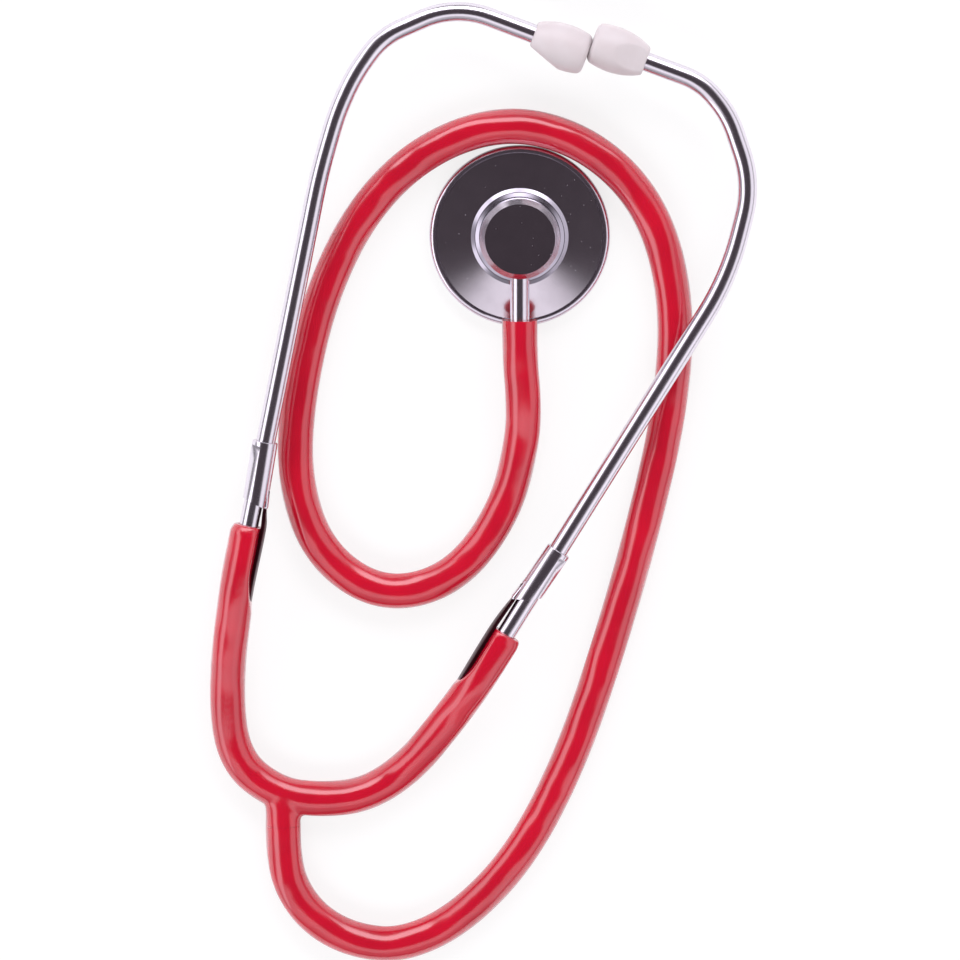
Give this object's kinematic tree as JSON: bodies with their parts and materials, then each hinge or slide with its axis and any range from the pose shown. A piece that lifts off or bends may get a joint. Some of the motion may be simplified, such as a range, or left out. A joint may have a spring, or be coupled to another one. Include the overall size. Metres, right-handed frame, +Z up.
{
  "type": "toy stethoscope",
  "caption": "Toy stethoscope laid flat: round chest piece with diaphragm, one long soft hose, a forked tube with a leaf spring, and a sprung headset of bent metal ear tubes with soft ear tips.",
  "frame": {"origin": "middle of the diaphragm's outer face", "axes": "+Z up through the hub, away from the diaphragm; the stem and the hose leave the hub towards -Y; the ear tips are towards +Y; +X is to the right seen from above"},
  "size_m": [0.1394, 0.2474, 0.0189],
  "materials": {
    "turned_alloy": "turned and polished",
    "rim_alloy": "polished",
    "diaphragm_sheet": "smooth stiff sheet",
    "chromed_tube": "bright plate",
    "red_tubing": "glossy soft tubing",
    "spring_steel": "dark rolled strip",
    "milky_tip": "milky soft moulding"
  },
  "bodies": {
    "chest_and_tubing": {"chest_body": "turned_alloy", "retaining_ring": "rim_alloy", "diaphragm": "diaphragm_sheet", "stem": "chromed_tube", "hose": "red_tubing", "y_tubing": "red_tubing", "leaf_spring": "spring_steel"},
    "left_arm": {"left_arm_tubing": "red_tubing", "left_spring_leg": "spring_steel", "left_sleeve": "chromed_tube"},
    "right_arm": {"right_arm_tubing": "red_tubing", "right_spring_leg": "spring_steel", "right_sleeve": "chromed_tube"},
    "left_tube": {"left_ear_tube": "chromed_tube"},
    "right_tube": {"right_ear_tube": "chromed_tube"},
    "left_tip": {"left_ear_tip": "milky_tip"},
    "right_tip": {"right_ear_tip": "milky_tip"}
  },
  "joints": [
    {"name": "left_spread", "type": "hinge", "parent": "chest_and_tubing", "child": "left_arm", "pos_m": [-0.0679, -0.1395, 0.0045], "axis": [0, 0, 1], "range_deg": [0, 20], "stiffness_Nm_per_rad": 0.5, "springref_deg": -5.73, "deforming": ["left_arm_tubing"]},
    {"name": "right_spread", "type": "hinge", "parent": "chest_and_tubing", "child": "right_arm", "pos_m": [-0.0335, -0.1403, 0.0045], "axis": [0, 0, -1], "range_deg": [0, 20], "stiffness_Nm_per_rad": 0.5, "springref_deg": -5.73, "deforming": ["right_arm_tubing"]},
    {"name": "left_swivel", "type": "hinge", "parent": "left_arm", "child": "left_tube", "pos_m": [-0.0689, -0.073, 0.0127], "axis": [-0.1994, -0.9799, 0], "range_deg": [-20, 20]},
    {"name": "right_swivel", "type": "hinge", "parent": "right_arm", "child": "right_tube", "pos_m": [-0.0034, -0.1009, 0.0127], "axis": [0.5255, 0.8508, 0], "range_deg": [-20, 20]},
    {"name": "left_tip_twist", "type": "hinge", "parent": "left_tube", "child": "left_tip", "pos_m": [0.00347, 0.05177, 0.0127], "axis": [0.9367, -0.3502, 0], "continuous": true},
    {"name": "right_tip_twist", "type": "hinge", "parent": "right_tube", "child": "right_tip", "pos_m": [0.03173, 0.04483, 0.0127], "axis": [0.9367, -0.3502, 0], "continuous": true}
  ]
}
